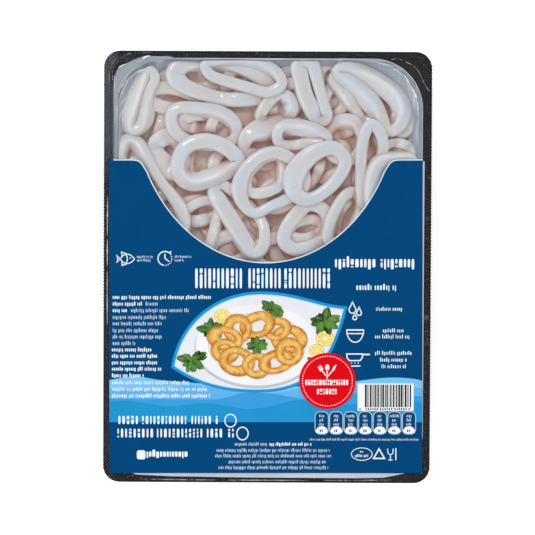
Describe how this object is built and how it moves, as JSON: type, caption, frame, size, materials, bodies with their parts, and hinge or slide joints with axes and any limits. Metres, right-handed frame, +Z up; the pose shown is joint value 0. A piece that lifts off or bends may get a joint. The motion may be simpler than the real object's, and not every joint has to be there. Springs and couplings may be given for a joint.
{
  "type": "sealed pack of squid rings",
  "caption": "Flat rectangular retail pack: black plastic tray with a flange, raw squid rings under clear film, and a blue printed label with a curved window.",
  "frame": {"origin": "middle of the tray's flat base, on the surface the pack lies on", "axes": "+Z up out of the label, +Y towards the end with the window, +X to the right as the label is read"},
  "size_m": [0.144, 0.19, 0.0301],
  "materials": {
    "black_tray": "black polypropylene, semi-matt, with a fine diamond knurl on the flange",
    "clear_tub": "grey translucent liner with a glossy ledge",
    "raw_squid": "wet raw squid, milky white with a soft gloss",
    "lid_film": "thin clear lidding film, lightly crinkled at the corners",
    "printed_label": "blue printed film label, satin"
  },
  "bodies": {
    "root": {"tray": "black_tray", "inner_tub": "clear_tub", "squid_rings": "raw_squid", "lid_film": "lid_film", "label": "printed_label"}
  },
  "joints": []
}
